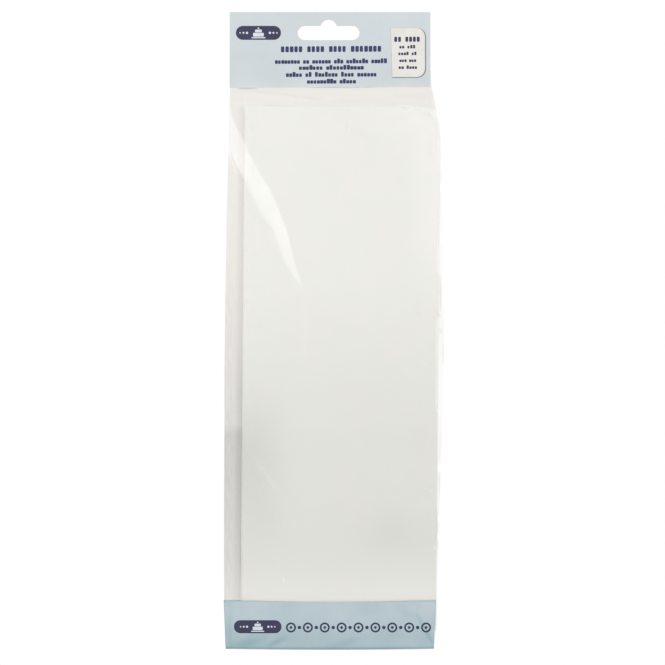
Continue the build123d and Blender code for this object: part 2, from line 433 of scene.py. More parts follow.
def makeSheet(columns, rows, place, tones, turned=False):
    # A grid with its points set by place(across, up), both from 0 to 1, and its named tones by the rest
    mesh = bmesh.new()
    bmesh.ops.create_grid(mesh, x_segments=columns, y_segments=rows, size=1)
    layers = {name: mesh.verts.layers.float.new(name) for name in tones}
    for point in mesh.verts:
        across, up = (point.co.x + 1) / 2, (point.co.y + 1) / 2
        point.co = place(across, up)
        for name, tone in tones.items():
            point[layers[name]] = tone(point.co.x, point.co.z)
    if turned:
        bmesh.ops.reverse_faces(mesh, faces=mesh.faces)
    return mesh


def sliceUp(mesh, direction, step):
    # Cuts edges across flat faces, so that they can bend
    along = [point.co.dot(direction) for point in mesh.verts]
    low, high = min(along), max(along)
    count = max(round((high - low) / step), 1)
    for cut in range(1, count):
        bmesh.ops.bisect_plane(
            mesh, geom=mesh.verts[:] + mesh.edges[:] + mesh.faces[:], dist=0.0001 * mm,
            plane_co=direction * (low + (high - low) * cut / count), plane_no=direction,
        )


sideways = Vector((1, 0, 0))
upright = Vector((0, 0, 1))

# The room inside the bag, in the same sizes as the solids
pouch = {
    "side": 0.3 * mm,  # clearance beside the plate
    "inside": 1.25 * mm,  # half of the room for the plate
    "film": 0.2 * mm,
    "slopeRun": 2.6 * mm,
    "flap": 8.7 * mm,
    "bow": 1.1 * mm,
    "inset": 0.2 * mm,
    "spread": 0.7 * mm,
    "shoulder": 26.8 * mm,
    "shoulderPower": 1.32,
    "bandHeight": 25.4 * mm,
    "drawIn": 1.0 * mm,
    "openOver": 3.0 * mm,  # the right edge opens over this height at the shoulder
    "corner": 0.6,  # below 1 makes the turn round the plate's edge squarer
    # the lower right corner is drawn in and the flap's edge tucked in
    "draw": {"depth": 1.5 * mm, "below": 1.0 * mm, "over": 9.0 * mm},
    "tuck": {"depth": 0.28 * mm, "fromY": 365, "over": 38 * mm},
    "weldFade": 3.0 * mm,
    "weldLeast": 0.05 * mm,
}
cardLow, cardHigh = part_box("header_card")
bandLow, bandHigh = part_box("footer_band")
filmLow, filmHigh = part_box("bag_front_film")
bandTop = bandHigh.z
bagBottom = filmLow.z
mouthTop = filmHigh.z
cardBottom = cardLow.z
shoulderBottom = cardBottom - pouch["shoulder"]


def plateEdgeX(side, z):
    halfWidth = plate["width"] / 2 / math.cos(plate["lean"])
    return plateX + side * halfWidth + (z - plateZ) * math.tan(plate["lean"])


def bagLeftX(z):
    lowX = plateEdgeX(-1, bandTop) - pouch["side"] - pouch["flap"]
    highX = cardLow.x + pouch["inset"]
    if z < bandTop:
        return lowX + pouch["drawIn"] * (bandTop - z) / pouch["bandHeight"]
    share = min((z - bandTop) / (cardBottom - bandTop), 1)
    return lowX + (highX - lowX) * share - pouch["bow"] * 4 * share * (1 - share)


def bagRightX(z):
    if z <= shoulderBottom:
        return plateEdgeX(1, z) + pouch["side"] + pouch["film"]
    spreadX = cardHigh.x + pouch["spread"]
    if z > cardBottom:
        share = (z - cardBottom) / (mouthTop - cardBottom)
        return spreadX - (pouch["spread"] + pouch["inset"]) * share
    share = (cardBottom - z) / pouch["shoulder"]
    return spreadX + (bagRightX(shoulderBottom) - spreadX) * (1 - (1 - share) ** pouch["shoulderPower"])


def slopeShare(x, z, run, shape=ramp):
    # 0 on the flat flap, 1 over the plate
    high = plateEdgeX(-1, z) - pouch["side"]
    return shape((x - high + run) / run)


# Outer edge of the weld that stands out beside the plate, as (y, x) pixels
weldEdge = [
    (140, 440.4), (165, 441.6), (200, 442.0), (270, 442.6), (290, 443.0), (303, 443.6), (330, 443.8),
    (360, 443.8), (385, 443.0), (400, 442.6), (430, 441.9), (450, 441.1), (480, 440.4), (500, 439.7),
    (514, 439.0), (545, 438.8), (560, 438.1), (590, 437.6), (650, 436.8),
]
# Zones across a sheet of the bag, as shares of its columns
zones = {"flap": 0.10, "slope": 0.15, "face": 0.90, "turn": 0.95}


def drawnIn(z):
    # The bag's lower right corner narrows where the plate's own corner is round
    draw = pouch["draw"]
    return draw["depth"] * ease((plateLow.z + plate["corner"] - draw["below"] - z) / draw["over"])


def tuckedIn(z):
    # Lower down, the flap's outer edge lies a little inside the band's end
    tuck = pouch["tuck"]
    return tuck["depth"] * ease((fromPixel((0, tuck["fromY"])).z - z) / tuck["over"])


def weldX(z):
    edge = fromPixel((follow(weldEdge, toPixel(0, z)[1]), 0)).x
    wide = ease((z - bandTop) / pouch["weldFade"])
    narrow = bagRightX(z) + pouch["weldLeast"]
    return narrow + max(edge - narrow, 0) * wide


def pouchPoint(across, z, skin):
    # x, and the depth in front of the middle plane, for a sheet that lies a skin outside the pouch's inside
    slopeHigh = plateEdgeX(-1, z) - pouch["side"]
    slopeLow = slopeHigh - pouch["slopeRun"]
    reach = pouch["inside"] + skin
    right = bagRightX(z) + skin - pouch["film"] - drawnIn(z)
    turn = right - reach
    closed = ease((shoulderBottom - z) / pouch["openOver"])
    if across < zones["flap"]:
        left = bagLeftX(z) + tuckedIn(z)
        return left + (slopeLow - left) * across / zones["flap"], skin
    if across < zones["slope"]:
        share = (across - zones["flap"]) / (zones["slope"] - zones["flap"])
        return slopeLow + pouch["slopeRun"] * share, skin + pouch["inside"] * ramp(share)
    if across < zones["face"]:
        share = (across - zones["slope"]) / (zones["face"] - zones["slope"])
        return slopeHigh + (turn - slopeHigh) * share, reach
    if across < zones["turn"]:
        share = (across - zones["face"]) / (zones["turn"] - zones["face"])
        angle = share * math.pi / 2
        roundX = turn + reach * math.sin(angle) ** pouch["corner"]
        roundDepth = skin + pouch["inside"] * max(math.cos(angle), 0) ** pouch["corner"]
        flatX = turn + reach * share
        return flatX + (roundX - flatX) * closed, reach + (roundDepth - reach) * closed
    share = (across - zones["turn"]) / (1 - zones["turn"])
    outer = right + (weldX(z) - drawnIn(z) - right) * closed
    return right + (outer - right) * share, reach + (skin - reach) * closed


def bottomShare(z, low, radius):
    # Rounds a sheet in towards the middle plane at the bag's bottom
    drop = (low + radius - z) / radius
    return math.sqrt(max(1 - drop * drop, 0)) if drop > 0 else 1.0


def crease(start, end, width, rise=0.0, shade=0.0, gleam=0.0):
    # Ends in pixels, half width and rise in millimetres, how much painted shade it lays on the sheet (below
    # 0, painted light) and how much it shines
    low, high = fromPixel(start), fromPixel(end)
    run = high - low
    return {
        "x": low.x, "z": low.z, "runX": run.x, "runZ": run.z, "square": run.length_squared,
        "width": width * mm, "rise": rise * mm, "shade": shade, "gleam": gleam,
    }


creaseReach = 3  # in half widths
creaseBin = 6 * mm


def sortCreases(rows):
    # The creases that reach each stretch of the height, so that few are tried at a point
    bins = {}
    for row in rows:
        fold = crease(*row)
        reach = creaseReach * fold["width"]
        ends = sorted((fold["z"], fold["z"] + fold["runZ"]))
        first = math.floor((ends[0] - reach) / creaseBin)
        last = math.floor((ends[1] + reach) / creaseBin)
        for stretch in range(first, last + 1):
            bins.setdefault(stretch, []).append(fold)
    return bins


frontBins = sortCreases([
    # in the gap that the card leaves, where the first four paint the shadow under the card's lower edge, and
    # above the plate
    ((238, 87.9), (257, 87.9), 0.55, 0, 0.75),
    ((240, 90.4), (302, 90.0), 0.9, 0.06, 0.05),
    ((303, 86.8), (376, 86.6), 0.7, 0, 0.20),
    ((402, 86.4), (429, 86.4), 0.6, 0, 0.12),
    ((238, 90), (272, 93), 0.7, 0.10, 0.05),
    ((272, 93), (306, 97.5), 0.6, 0.12, 0.07),
    ((304, 97.5), (322, 99.5), 0.6, 0.12, 0.12),
    ((330, 101), (392, 100), 0.7, 0.08, 0.04),
    ((395, 97), (426, 98), 0.7, 0.10, 0.05),
    ((395, 105.5), (416, 107.5), 0.6, 0.05, 0, 0.28),
    ((416, 107.5), (430, 114.5), 0.6, 0.05, 0, 0.28),
    ((430, 114.5), (437, 130), 0.6, 0.05, 0, 0.28),
    # on the upper half of the plate
    ((244.7, 109), (244.4, 136), 0.5, 0, 0.07),
    ((345.3, 123), (345.4, 133), 0.5, 0.07, 0, 0.03),
    ((346.6, 120), (346.7, 131), 0.45, 0, 0.05),
    ((351.8, 119), (350.4, 132), 0.6, 0.11, 0, 0.08),
    ((349.8, 128), (348.6, 136), 0.55, 0.10, 0, 0.08),
    ((351.6, 129), (351.3, 135), 0.45, 0, 0.04),
    ((349.5, 129), (377, 141), 1.3, 0.10, 0.035),
    ((336, 119), (346, 127), 0.9, 0.10, 0.03, 0.06),
    ((396, 176), (404, 183), 0.9, 0.12, 0.03),
    ((424, 176), (431, 182), 0.8, 0.10, 0.03),
    ((429, 133), (430.5, 156), 0.7, 0.06, 0, 0.26),
    ((427, 111), (428.5, 118), 0.7, 0.06, 0, 0.30),
    ((306, 288), (307, 388), 1.1, 0.10, -0.02),
    ((262, 330), (345, 352), 1.6, 0.14, 0.01),
    ((380, 120), (432, 112), 1.4, 0.16, 0.02),
    # by the pleats of the right edge
    ((411.4, 301), (413.6, 309), 0.6, 0.12, 0, 0.36),
    ((416.5, 309), (419, 316), 0.7, 0, 0.05),
    ((416, 312), (421, 317), 0.8, 0.12, 0.05),
    ((440.0, 275), (440.6, 312), 0.5, 0, 0.33),
    ((437.1, 508), (437.1, 548), 0.5, 0, 0.17),
    ((434.8, 314), (434.9, 319), 0.6, 0.08, 0, 0.60),
    ((437.5, 312.5), (441, 317.5), 0.6, 0.10, 0.17),
    ((442.6, 313), (442.8, 316), 0.5, 0, 0, 0.6),
    ((435.6, 328), (437.6, 337), 0.8, 0.10, 0, 0.50),
    ((440, 328), (441, 333), 0.5, 0, 0.12),
    ((430, 343), (434.5, 348), 0.8, 0.14, 0.07),
    ((439.5, 346), (436.4, 359), 0.7, 0.08, 0, 0.35),
    ((436.4, 359), (438.2, 374), 0.7, 0.08, 0, 0.30),
    ((443.2, 343), (443.3, 362), 0.5, 0, 0.16),
    ((418, 360), (431, 367), 1.3, 0.14, -0.01, 0.08),
    ((436.8, 408), (437, 413), 0.7, 0.08, 0, 0.60),
    ((433, 408), (434, 415), 0.7, 0.10, 0.03, 0.08),
    ((434.6, 432), (435.2, 462), 0.8, 0.05, 0, 0.10),
    ((428, 488), (432.5, 493), 0.8, 0.12, 0, 0.20),
    ((420, 500), (430, 508), 2.0, 0.12, -0.02, 0.05),
    ((434.6, 512), (434.4, 600), 1.3, 0, 0, 0.09),
    ((434.6, 545), (435, 551), 0.7, 0.06, 0, 0.50),
    # on the lower half of the plate
    ((334, 381), (353, 399), 0.8, 0.14, -0.02),
    ((345, 480), (352, 492), 0.8, 0.12, 0.03),
    ((277, 503), (279, 520), 0.8, 0.10, 0.03),
    ((284, 575), (284.2, 583), 0.6, 0.03, 0, 0.55),
    ((250, 440), (300, 520), 2.6, 0.20, 0.01),
    ((391, 473), (398, 476), 0.9, 0.10, 0, 0.08),
    ((240.6, 528), (241.2, 612), 0.5, 0, 0.20),
])
backBins = sortCreases([
    ((300, 150), (340, 260), 1.4, 0.25, 0.03),
    ((400, 200), (350, 300), 1.6, 0.22, 0.02),
    ((280, 380), (390, 420), 1.5, 0.25, 0.03),
    ((300, 520), (340, 470), 1.2, 0.22, 0.02),
    ((405, 330), (441, 350), 1.0, 0.35, 0.04),
])
def creaseSum(x, z, bins, key):
    # The creases' rises, shades or gleams, added up at one place
    total = 0.0
    for fold in bins.get(math.floor(z / creaseBin), ()):
        if not fold[key]:
            continue
        offX, offZ = x - fold["x"], z - fold["z"]
        near = min(max((offX * fold["runX"] + offZ * fold["runZ"]) / fold["square"], 0), 1)
        gap = math.hypot(offX - fold["runX"] * near, offZ - fold["runZ"] * near) / fold["width"]
        if gap < creaseReach:
            total += fold[key] * math.exp(-gap * gap) * (0.35 + 0.65 * math.sin(math.pi * near))
    return total


# The bright fold narrows from the left edge down to a point on the plate, its edges as (y, x) pixels.
# Beside the plate the front sheet is drawn straight from the flap's edge, and on it a slanted facet goes on.
brightFold = {
    "upper": [
        (98, 229.0), (112, 231.5), (130, 238.5), (150, 248), (180, 265), (190, 271), (200, 276), (215, 281.5),
        (230, 287.5), (245, 291), (260, 294.5), (285, 302),
    ],
    "lower": [
        (98, 196), (152, 228.6), (160, 232.5), (170, 237), (178, 243.5), (190, 251.5), (200, 256),
        (215, 264), (230, 273.5), (245, 279), (260, 283.5), (285, 299),
    ],
    "tilt": math.radians(5.6), "dimmed": 0.18, "fall": 2.6 * mm, "soft": 3.0, "crisp": 2.0,
    # clearer and fainter lighten the painted shade inside the fold, a painted highlight
    "clearer": 0.07, "fainter": 0.6,
    "dull": [(100, -0.036), (140, -0.034), (170, -0.022), (250, -0.022), (275, -0.034)],  # it mirrors less
}


def foldEdges(py):
    return follow(brightFold["lower"], py), follow(brightFold["upper"], py)


def foldShare(px, py):
    # 1 inside the bright fold
    if not brightFold["upper"][0][0] < py < brightFold["upper"][-1][0]:
        return 0.0
    lower, upper = foldEdges(py)
    return ease((px - lower) / brightFold["soft"] + 0.5) * ease((upper - px) / brightFold["crisp"] + 0.5)


def foldRise(x, z):
    px, py = toPixel(x, z)
    if not brightFold["upper"][0][0] < py < brightFold["upper"][-1][0]:
        return 0.0
    lower, upper = foldEdges(py)
    high = plateEdgeX(-1, z) - pouch["side"]
    edge = toPixel(high, z)[0]
    if px < edge:
        left = bagLeftX(z)
        line = pouch["inside"] * min(max((x - left) / (high - left), 0), 1)
        hug = pouch["inside"] * slopeShare(x, z, pouch["slopeRun"])
        return (line - hug) * foldShare(px, py)
    away = ease((lower - edge) / 8)
    # Its first stretch is too flat to shine
    lower = upper - (upper - lower) / (1 - brightFold["dimmed"] * away)
    begin = max(lower, edge)
    pitch = photo["mmPerPixel"] * mm
    full = max(upper - begin, 0) * pitch * math.tan(brightFold["tilt"])
    if px < begin or not full:
        return 0.0
    if px < upper:
        return full * ((px - begin) / (upper - begin)) ** (1 + 0.45 * away)
    return full * (1 - ease((px - upper) * pitch / brightFold["fall"]))


swell = {
    "wave": 0.30 * mm, "fine": 0.05 * mm, "fin": 0.5 * mm, "frontSeed": 1.7, "backSeed": 7.3,
    # how far below the card and above the band it starts, and how far on it is whole
    "belowCard": (0.6 * mm, 7 * mm), "aboveBand": (0.5 * mm, 6 * mm),
}


def sheetSwell(x, z, bins, seed):
    # How far a sheet stands out from its tight shape
    wave = 0.5 + 0.5 * noise.noise(Vector((x * 26, seed, z * 15)))
    fine = 0.5 + 0.5 * noise.noise(Vector((x * 90, seed + 4, z * 34)))
    rise = wave * swell["wave"] + fine * swell["fine"] + creaseSum(x, z, bins, "rise")
    below, fallen = swell["belowCard"]
    above, risen = swell["aboveBand"]
    return rise * ease((cardBottom - below - z) / fallen) * ease((z - bandTop - above) / risen)


def edgeHold(across):
    return 1 - ease((across - zones["face"]) / (zones["turn"] - zones["face"]))


def finOffset(across, z):
    # The weld strip waves gently
    if across <= zones["turn"]:
        return 0.0
    share = (across - zones["turn"]) / (1 - zones["turn"])
    return share * swell["fin"] * noise.noise(Vector((2.2, z * 60, 5.1)))


def filmPlace(across, up):
    # x, z, the fin's offset and the depth of a sheet's middle
    z = bagBottom + (mouthTop - bagBottom) * up
    x, depth = pouchPoint(across, z, pouch["film"] / 2)
    return x, z, finOffset(across, z), depth * bottomShare(z, bagBottom, pouch["inside"])


def frontFilmPoint(across, up):
    x, z, fin, depth = filmPlace(across, up)
    rise = sheetSwell(x, z, frontBins, swell["frontSeed"]) + foldRise(x, z)
    return Vector((x, fin - depth - rise * edgeHold(across), z))


def backFilmPoint(across, up):
    x, z, fin, depth = filmPlace(across, up)
    over = slopeShare(x, z, pouch["slopeRun"])
    rise = sheetSwell(x, z, backBins, swell["backSeed"]) * over if over else 0.0
    # The flap's two sheets move as one
    together = sheetSwell(x, z, frontBins, swell["frontSeed"]) * (1 - over) if over < 1 else 0.0
    return Vector((x, fin + depth + (rise - together) * edgeHold(across), z))


# Painted shade on the film, as (y pixel, shade): over the plate, on the flap, by the weld and near the plate.
# It darkens the pack lower down, where the light falls off, and the flap beside the plate
filmShades = {
    "over": [
        (285, 0), (330, 0.035), (390, 0.09), (425, 0.105), (435, 0.12), (500, 0.125), (540, 0.15),
        (565, 0.125), (590, 0.05),
    ],
    "beside": [
        (90, 0.18), (165, 0.165), (200, 0.18), (240, 0.18), (300, 0.25), (345, 0.30), (390, 0.35),
        (424, 0.375), (434, 0.56), (480, 0.53), (520, 0.49), (560, 0.44), (590, 0.35),
    ],
    "weld": [
        (106, 0.18), (114, 0.08), (125, 0.03), (200, 0.03), (260, 0), (305, 0), (330, 0.06), (360, 0.02),
        (400, 0), (425, 0.03), (440, 0.08), (465, 0.09), (480, 0.13), (495, 0.07), (508, 0.05),
        (516, 0.09), (545, 0.09), (556, 0.03),
    ],
    "near": [
        (105, 0), (111, 0.11), (135, 0.12), (180, 0.18), (260, 0.18), (300, 0.17), (345, 0.17),
        (390, 0.26), (440, 0.25), (480, 0.26), (520, 0.22), (560, 0.18), (595, 0.12),
    ],
    "ragged": [(140, 0), (180, 0.35), (330, 1), (600, 1)],
}
# Soft patches of painted shade on the film over the plate
softPatches = [
    {"middle": (250, 460), "wide": 30, "high": 50, "shade": 0.155},
    {"middle": (262, 514), "wide": 24, "high": 24, "shade": 0.045},
    {"middle": (396, 533), "wide": 28, "high": 26, "shade": 0.06},
    {"middle": (262, 415), "wide": 22, "high": 20, "shade": 0.02},
]
slopeDull = {"half": 0.45 * mm, "less": 0.05}  # the bends of the slope mirror less, or they would glitter
raggedEdge = {"wide": 3.0 * mm, "fade": 3.5 * mm, "inner": 0.25}
# Painted light and shade of wrinkles in the film
paintedWrinkleTone = {"height": 0.05, "lastY": 112, "fade": 8}  # across the strip between the card and the plate
backHaze = 0.06


def overShade(x, z):
    px, py = toPixel(x, z)
    total = follow(filmShades["over"], py) + creaseSum(x, z, frontBins, "shade")
    for patch in softPatches:
        offX = (px - patch["middle"][0]) / patch["wide"]
        offY = (py - patch["middle"][1]) / patch["high"]
        total += patch["shade"] * math.exp(-offX * offX - offY * offY)
    return total


def sideShade(x, z):
    return follow(filmShades["beside" if x < plateX else "weld"], toPixel(x, z)[1])


def besideShade(x, z):
    px, py = toPixel(x, z)
    total = sideShade(x, z) + creaseSum(x, z, frontBins, "shade") * 1.4
    wave = noise.noise(Vector((x * 45, 3.3, z * 420)))
    total += paintedWrinkleTone["height"] * wave * ease((paintedWrinkleTone["lastY"] - py) / paintedWrinkleTone["fade"])
    return total - brightFold["clearer"] * foldShare(px, py) if x < plateX else total


# Painted shade along the plate's left edge, fainter inside the bright fold
def nearShade(x, z):
    if x > plateX:
        return 0.0
    px, py = toPixel(x, z)
    return follow(filmShades["near"], py) * (1 - brightFold["fainter"] * foldShare(px, py))


def raggedShare(x, z):
    # The flap is streaky near its outer edge and smooth by the plate
    if x > plateX:
        return 0.0
    inwards = ease((x - bagLeftX(z) - raggedEdge["wide"]) / raggedEdge["fade"])
    return follow(filmShades["ragged"], toPixel(x, z)[1]) * (1 - (1 - raggedEdge["inner"]) * inwards)


def gleamShare(x, z):
    px, py = toPixel(x, z)
    dull = follow(brightFold["dull"], py) * foldShare(px, py)
    high = plateEdgeX(-1, z) - pouch["side"]
    if x < high + 3 * slopeDull["half"]:
        away = min(abs(x - high), abs(x - high + pouch["slopeRun"])) / slopeDull["half"]
        dull = min(dull, -slopeDull["less"] * math.exp(-away * away))
    return min(creaseSum(x, z, frontBins, "gleam"), 0.8) + dull


frontTones = {
    "besideShade": besideShade, "overShade": overShade, "near": nearShade, "ragged": raggedShare,
    "gleam": gleamShare,
}
backTones = {
    "besideShade": sideShade, "near": nearShade, "ragged": raggedShare,
    "overShade": lambda x, z: backHaze + creaseSum(x, z, backBins, "shade"),
}


def makeBag():
    grids = {"front": (240, 400), "back": (160, 280)}
    front = makeSheet(*grids["front"], frontFilmPoint, frontTones)
    back = makeSheet(*grids["back"], backFilmPoint, backTones, True)
    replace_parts(finishPiece("bagFront", front, frontFilm, "bag"), "bag_front_film")
    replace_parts(finishPiece("bagBack", back, backFilm, "bag"), "bag_back_film")


makeBag()
print("bag made")

# Folded band round the bottom of the bag
bandShape = {
    "skin": 0.275 * mm, "thickness": 0.13 * mm, "inset": 0.7 * mm, "sag": 1.0 * mm, "bulge": 0.5 * mm,
    "ripple": 0.10 * mm, "rim": 0.45 * mm, "slopeRun": 7.5 * mm, "foldPart": 0.06,
}
# The band's creases: their rise is modelled on the front and their shade is painted shade
bandBins = sortCreases([
    ((416, 613), (435, 647), 0.9, 0.30, 0.32),
    ((226, 622), (300, 640), 4.0, 0.20, 0.04),
    ((330, 604), (410, 615), 3.0, 0.16, 0.04),
    ((392, 605), (424, 621), 2.2, 0.16, 0.09),
    ((232, 604), (231, 646), 0.9, 0.12, 0.05),
    ((228, 646), (262, 640), 2.4, 0.12, 0.30),
    ((268, 645), (284, 638), 1.3, 0.14, 0.30),
    ((330, 646), (356, 640), 1.8, 0.10, 0.16),
])


def bandPoint(across, up):
    # Runs from the back's top edge down, round the fold and up the front
    height = pouch["bandHeight"] - bandShape["thickness"] / 2
    low = bandLow.z + bandShape["thickness"] / 2
    radius = pouch["inside"] + bandShape["skin"]
    side = -1 if up > 0.5 else 1
    run = abs(up - 0.5) * 2
    if run < bandShape["foldPart"]:
        angle = run / bandShape["foldPart"] * math.pi / 2
        z = low + radius * (1 - math.cos(angle))
        depthShare = math.sin(angle)
    else:
        z = low + radius + (height - radius) * (run - bandShape["foldPart"]) / (1 - bandShape["foldPart"])
        depthShare = 1.0
    left = bagLeftX(z)
    drawn = pouch["drawIn"] * max(bandTop - z, 0) / pouch["bandHeight"]
    right = bagRightX(bandTop) - bandShape["inset"] - drawn
    x = left + (right - left) * across
    dip = 1 - (2 * across - 1) ** 2
    z -= dip * (bandShape["bulge"] + (bandShape["sag"] - bandShape["bulge"]) * ease((z - low) / height))
    depth = bandShape["skin"] + pouch["inside"] * slopeShare(x, z, bandShape["slopeRun"], ease)
    lift = (0.5 + 0.5 * noise.noise(Vector((x * 40, 3.1 * side, z * 60)))) * bandShape["ripple"]
    if side < 0:
        lift += creaseSum(x, z, bandBins, "rise")
    return Vector((x, side * (depth + lift) * depthShare, z))


# How dark its parts are, with where each starts and over what length it comes in. The top edge has a dark
# line, the bottom fold painted shade, the lower part painted shade along with its own greener tone, and the
# left end and all but the right end are darker
bandTones = {
    "topRim": 0.30, "paintedFoldShade": 0.35, "lower": (0.205, 7 * mm, 13 * mm), "left": (0.07, 4 * mm, 1.2 * mm),
    "allButRight": (0.045, 10 * mm, 14 * mm),
}


def bandShade(x, z):
    fromTop = (bandTop - bandShape["sag"] * 0.5 - z) / bandShape["rim"]
    fromBottom = (z - bandLow.z) / (bandShape["rim"] * 2)
    total = bandTones["topRim"] * math.exp(-fromTop * fromTop)
    total += bandTones["paintedFoldShade"] * math.exp(-fromBottom * fromBottom)
    shade, start, run = bandTones["lower"]
    total += shade * ease((bandTop - start - z) / run)
    shade, start, run = bandTones["left"]
    total += shade * ease((bagLeftX(z) + start - x) / run)
    shade, start, run = bandTones["allButRight"]
    total += shade * ease((bandHigh.x - start - x) / run)
    return total + creaseSum(x, z, bandBins, "shade")


def makeBand():
    sheet = makeSheet(200, 96, bandPoint, {"shade": bandShade})
    band = finishPiece("footerBand", sheet, footerBoard, "bag")
    paper = band.modifiers.new("paper", "SOLIDIFY")
    paper.thickness = bandShape["thickness"]
    paper.offset = 0
    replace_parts(band, "footer_band")
    return band


footerBand = makeBand()
print("band made")

# The card's leaves stand off the bag a little at their lower edges, as (x pixel, millimetres)
cardBend = {
    "start": -7 * mm,
    "front": [
        (229, 0.35), (240, 0.95), (252, 0.70), (268, 0.20), (310, 0.38), (370, 0.30), (418, 0.62),
        (432, 0.55),
    ],
    "back": [(229, 0.55), (290, 0.20), (380, 0.45), (432, 0.80)],
    "slice": 3.2 * mm,
    "cut": 0.55 * mm,  # its lower edge is cut a little higher at the right
    # and the back leaf is cut shorter than the front one, but for its middle
    "backCut": [(229, 0.40), (300, 0.36), (314, 0.10), (372, 0.12), (386, 0.36), (432, 0.36)],
}
# The sticker is cut out by hand, so its left edge slants and it is a little short of its nominal size
labelCut = {"slant": 0.75 * mm, "right": 0.25 * mm, "low": 0.10 * mm}
labelLow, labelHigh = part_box("size_label")


def bendCard(co):
    share = max((cardBend["start"] - co.z) / (cardBend["start"] - cardBottom), 0)
    side = -1 if co.y < 0 else 1
    stops = cardBend["front"] if side < 0 else cardBend["back"]
    co.y += side * follow(stops, toPixel(co.x, 0)[0]) * mm * share ** 1.7
    co.z += cardBend["cut"] * (co.x - cardLow.x) / (cardHigh.x - cardLow.x) * share ** 3
    if side > 0:
        co.z += follow(cardBend["backCut"], toPixel(co.x, 0)[0]) * mm * share ** 3


def cutLabel(co):
    fromTop = (labelHigh.z - co.z) / (labelHigh.z - labelLow.z)
    fromLeft = (co.x - labelLow.x) / (labelHigh.x - labelLow.x)
    co.x += labelCut["slant"] * fromTop * (1 - fromLeft) - labelCut["right"] * fromLeft
    co.z += labelCut["low"] * fromTop
    bendCard(co)


# The print is painted paler along the card's lower and right edges, a painted highlight, each with its width
# and its fade
cardPaleEdges = {"share": 0.16, "lower": (4 * mm, 3 * mm), "right": (2.2 * mm, 1.6 * mm), "paler": 0.4}
cardClouds = {"least": 0.10, "more": 0.05}


def headerPaleEdges(x, z):
    lower = ease((cardBottom + cardPaleEdges["lower"][0] - z) / cardPaleEdges["lower"][1])
    right = ease((x - cardHigh.x + cardPaleEdges["right"][0]) / cardPaleEdges["right"][1])
    return cardPaleEdges["share"] * max(lower, right)


def headerShade(x, z):
    cloud = 0.5 + 0.5 * noise.noise(Vector((x * 30, 8.2, z * 60)))
    return cardClouds["least"] + cardClouds["more"] * cloud - cardPaleEdges["paler"] * headerPaleEdges(x, z)


def makeBentCopy(name, node, bend, material, tones):
    # A finely cut copy of a flat solid, bent with the card's leaves
    mesh = bmesh.new()
    mesh.from_mesh(nodes[node].data)
    bmesh.ops.remove_doubles(mesh, verts=mesh.verts, dist=0.001 * mm)
    bmesh.ops.dissolve_limit(
        mesh, angle_limit=math.radians(0.3), verts=mesh.verts[:], edges=mesh.edges[:], delimit=set()
    )
    sliceUp(mesh, sideways, cardBend["slice"])
    sliceUp(mesh, upright, cardBend["slice"])
    layers = {tone: mesh.verts.layers.float.new(tone) for tone in tones}
    for point in mesh.verts:
        for tone, value in tones.items():
            point[layers[tone]] = value(point.co.x, point.co.z)
        bend(point.co)
    piece = finishPiece(name, mesh, material, "header")
    piece.data.set_sharp_from_angle(angle=math.radians(35))
    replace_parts(piece, node)
    return piece


# The folded card's piece is called worn
headerCard = makeBentCopy(
    "worn", "header_card", bendCard, headerBoard,
    # the worn tone paints the card's edges paler, a painted highlight
    {"shade": headerShade, "worn": headerPaleEdges},
)
sizeLabel = makeBentCopy("sizeLabel", "size_label", cutLabel, labelPaper, {})
print("card made")


def treeOf(piece):
    return BVHTree.FromObject(piece, bpy.context.evaluated_depsgraph_get())


printTilt = 0.006  # the print rises a little to the right
inkLift = {"word": 0.02 * mm, "block": 0.03 * mm, "motif": 0.06 * mm}  # how far the inks stand off


def addBlock(mesh, left, right, low, high, radius, segments=2):
    # A flat block with rounded corners, facing the front
    made = bmesh.ops.create_grid(mesh, x_segments=1, y_segments=1, size=0.5)["verts"]
    width, height = right - left, high - low
    middleX, middleZ = (left + right) / 2, (low + high) / 2
    for point in made:
        point.co = Vector((middleX + point.co.x * width, 0, middleZ + point.co.y * height))
    bmesh.ops.bevel(
        mesh, geom=made, offset=min(radius, width * 0.49, height * 0.49), segments=segments,
        profile=0.5, affect="VERTICES", material=-1,
    )


def addDisc(mesh, centre, radius, segments=20, filled=True):
    made = bmesh.ops.create_circle(mesh, cap_ends=filled, radius=radius, segments=segments)["verts"]
    for point in made:
        point.co = Vector((centre.x + point.co.x, 0, centre.z + point.co.y))
    return made


def addRing(mesh, centre, radius, width, segments=28):
    rims = []
    for size in (radius, radius - width):
        made = addDisc(mesh, centre, size, segments, False)
        rims += list({edge for point in made for edge in point.link_edges})
    bmesh.ops.bridge_loops(mesh, edges=rims)


def addWords(mesh, rows, rng):
    # Stands in for lines of print: blocks the size of letters, in groups the size of words
    letter = {"gap": 0.9, "lowShares": (0.74, 0.78, 0.74, 1.04), "vary": (0.92, 1.08), "round": 0.16}
    for row in rows:
        start, end = fromPixel(row["start"]), fromPixel(row["end"])
        height = start.z - end.z
        letters = sum(row["words"]) + letter["gap"] * (len(row["words"]) - 1)
        pitch = (end.x - start.x) / letters
        x = start.x
        for count in row["words"]:
            for _ in range(count):
                tall = height if "capitals" in row else height * rng.choice(letter["lowShares"])
                width = pitch * row["weight"] * rng.uniform(*letter["vary"])
                low = end.z + (x - (start.x + end.x) / 2) * printTilt
                addBlock(mesh, x, x + width, low, low + tall, height * letter["round"])
                x += pitch
            x += pitch * letter["gap"]


